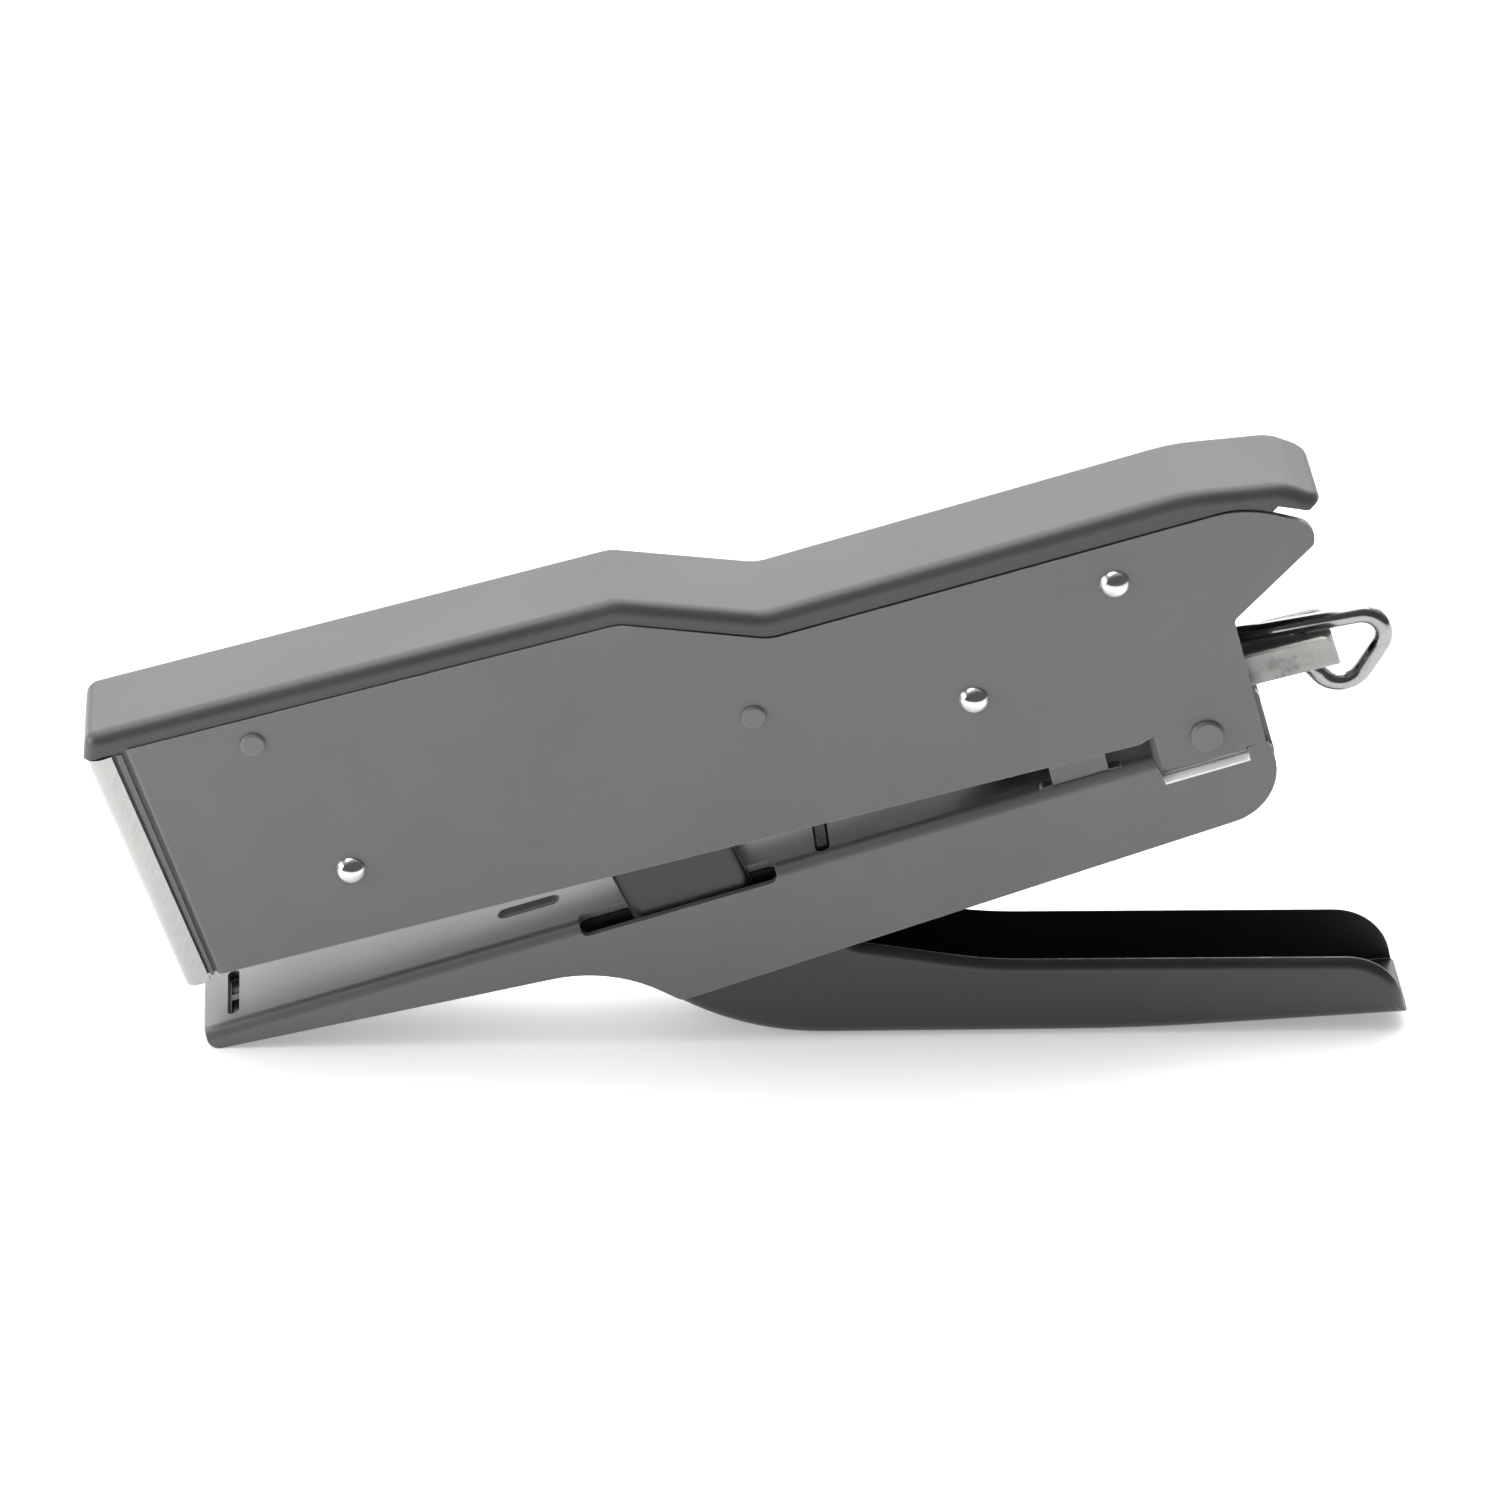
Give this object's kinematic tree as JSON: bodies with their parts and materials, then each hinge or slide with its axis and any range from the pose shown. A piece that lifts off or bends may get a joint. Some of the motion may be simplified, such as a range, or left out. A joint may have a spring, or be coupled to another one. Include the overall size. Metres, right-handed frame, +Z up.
{
  "type": "long reach plier stapler",
  "caption": "Hand-held all-metal plier stapler with a deep throat: side-plated magazine body, hinged lower jaw, squeeze lever linked to an inner ram, and a pull-out staple feeder.",
  "frame": {"origin": "on the floor under the middle of the bounding box", "axes": "+X from the staple end to the tail, +Y away from the side shown in the picture, +Z up; the stapler stands on the toe of its lower jaw and on its squeeze lever"},
  "size_m": [0.1706, 0.0192, 0.0797],
  "materials": {
    "frame_paint": "satin mid-grey enamel with fine orange peel",
    "cover_shell": "dark grey moulding, satin, lighter where light grazes its top",
    "lever_paint": "dark grey satin enamel",
    "nickel_plate": "nickel plate, bright satin",
    "chrome_trim": "polished chrome",
    "rolled_steel": "dull zinc-plated sheet with rolling marks",
    "spring_steel": "bright drawn and ground steel",
    "staple_wire": "galvanised wire, glued in a strip",
    "rivet_paint": "same enamel as the plates, thinner on the head"
  },
  "bodies": {
    "upper": {"side_plate_near": "frame_paint", "side_plate_far": "frame_paint", "top_cover": "cover_shell", "front_plate": "nickel_plate", "nose_guide_front": "rolled_steel", "nose_guide_rear": "rolled_steel", "magazine": "rolled_steel", "staple_strip": "staple_wire", "spacer_tubes": "rolled_steel", "ram_bush": "rolled_steel", "jaw_spring": "spring_steel", "ram_spring": "spring_steel", "dome_rivets": "chrome_trim", "flat_rivets": "rivet_paint", "jaw_pivot_rivet": "rivet_paint"},
    "ram": {"ram_lever": "rolled_steel"},
    "driver": {"driver_blade": "spring_steel"},
    "feeder": {"feeder_channel": "rolled_steel", "wire_loop": "chrome_trim", "follower_rod": "spring_steel", "rod_anchor": "rolled_steel", "pusher_spring": "spring_steel"},
    "pusher": {"pusher": "rolled_steel"},
    "jaw": {"jaw": "frame_paint", "anvil": "spring_steel", "fulcrum_bracket": "rolled_steel", "fulcrum_pin": "spring_steel"},
    "lever": {"squeeze_lever": "lever_paint", "link_pin": "spring_steel"}
  },
  "joints": [
    {"name": "lever_hinge", "type": "hinge", "parent": "jaw", "child": "lever", "pos_m": [0.00964, 0, 0.02315], "axis": [0, -1, 0], "range_deg": [0, 16], "stiffness_Nm_per_rad": 1, "springref_deg": -28.65},
    {"name": "jaw_hinge", "type": "hinge", "parent": "upper", "child": "jaw", "pos_m": [0.05613, 0, 0.04478], "axis": [0, 1, 0], "range_deg": [0, 2.85], "deforming": ["jaw_spring"]},
    {"name": "ram_hinge", "type": "hinge", "parent": "upper", "child": "ram", "pos_m": [0.04326, 0, 0.06631], "axis": [0, -1, 0], "range_deg": [0, 3.3]},
    {"name": "driver_slide", "type": "slide", "parent": "upper", "child": "driver", "axis": [0.3437, 0, -0.9391], "range_m": [0, 0.00725]},
    {"name": "feeder_slide", "type": "slide", "parent": "upper", "child": "feeder", "axis": [0.9632, 0, 0.2689], "range_m": [0, 0.095]},
    {"name": "pusher_slide", "type": "slide", "parent": "feeder", "child": "pusher", "axis": [0.9632, 0, 0.2689], "range_m": [0, 0.045], "stiffness_N_per_m": 20, "springref_m": -0.02, "deforming": ["pusher_spring"]}
  ],
  "couplings": [
    {"joint": "jaw_hinge", "follows": "lever_hinge", "ratio": 0.17813},
    {"joint": "ram_hinge", "follows": "lever_hinge", "ratio": 0.20625},
    {"joint": "driver_slide", "follows": "lever_hinge", "m_per_rad": 0.025962}
  ]
}
